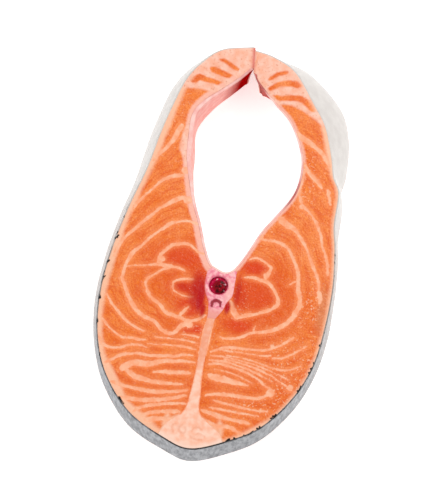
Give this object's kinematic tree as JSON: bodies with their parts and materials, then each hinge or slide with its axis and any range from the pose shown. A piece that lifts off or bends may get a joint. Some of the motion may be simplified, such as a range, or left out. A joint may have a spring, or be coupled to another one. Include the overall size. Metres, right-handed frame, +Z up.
{
  "type": "raw salmon steak",
  "caption": "Raw salmon steak cut across the fish: two halves of flesh round an open belly cavity, with backbone, back fat, cavity lining and silver skin.",
  "frame": {"origin": "middle of the steak's footprint, on the surface that it lies on", "axes": "+Z up out of the upper cut face, +Y from the back towards the belly slit, +X to the right seen from above"},
  "size_m": [0.0978, 0.177, 0.0227],
  "materials": {
    "flesh": "moist raw orange flesh with pale bands of fat",
    "skin": "wet grey and silver skin with fine scales, white at the belly",
    "lining": "thin moist pink membrane",
    "fat": "pale moist fat",
    "bone": "pink damp bone and gristle",
    "marrow": "dark red jelly, wet and shiny"
  },
  "bodies": {
    "root": {"flesh_left": "flesh", "flesh_right": "flesh", "skin": "skin", "cavity_lining": "lining", "dorsal_fat": "fat", "backbone": "bone", "marrow": "marrow"}
  },
  "joints": []
}
